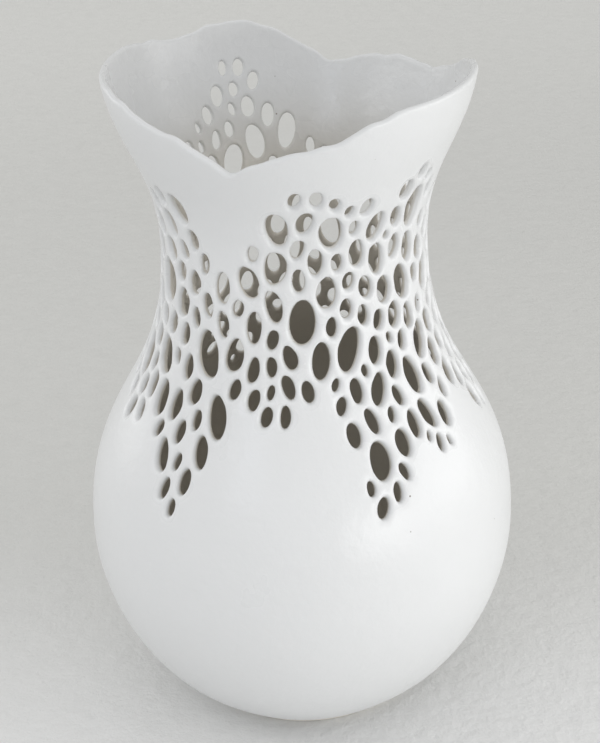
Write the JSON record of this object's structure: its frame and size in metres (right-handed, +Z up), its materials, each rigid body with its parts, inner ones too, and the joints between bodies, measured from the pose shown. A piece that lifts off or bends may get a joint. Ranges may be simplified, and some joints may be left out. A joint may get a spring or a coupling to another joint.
{
  "type": "pierced vase",
  "caption": "White glazed porcelain vase with a round belly, a narrow waist, a flared wavy rim and a band of oval piercings around the waist.",
  "frame": {"origin": "on the vase's axis, on the surface that the foot ring stands on", "axes": "+Z up along the axis out of the mouth, -Y towards the front with the lowest dip of the rim, +X to the front's right"},
  "size_m": [0.15, 0.15, 0.2342],
  "materials": {
    "glazed_porcelain": "satin white glaze",
    "bare_porcelain": "unglazed, sanded smooth"
  },
  "bodies": {
    "root": {"foot_ring": "bare_porcelain", "bowl_base": "glazed_porcelain", "belly_wall": "glazed_porcelain", "pierced_shoulder": "glazed_porcelain", "pierced_neck": "glazed_porcelain", "flared_collar": "glazed_porcelain"}
  },
  "joints": []
}
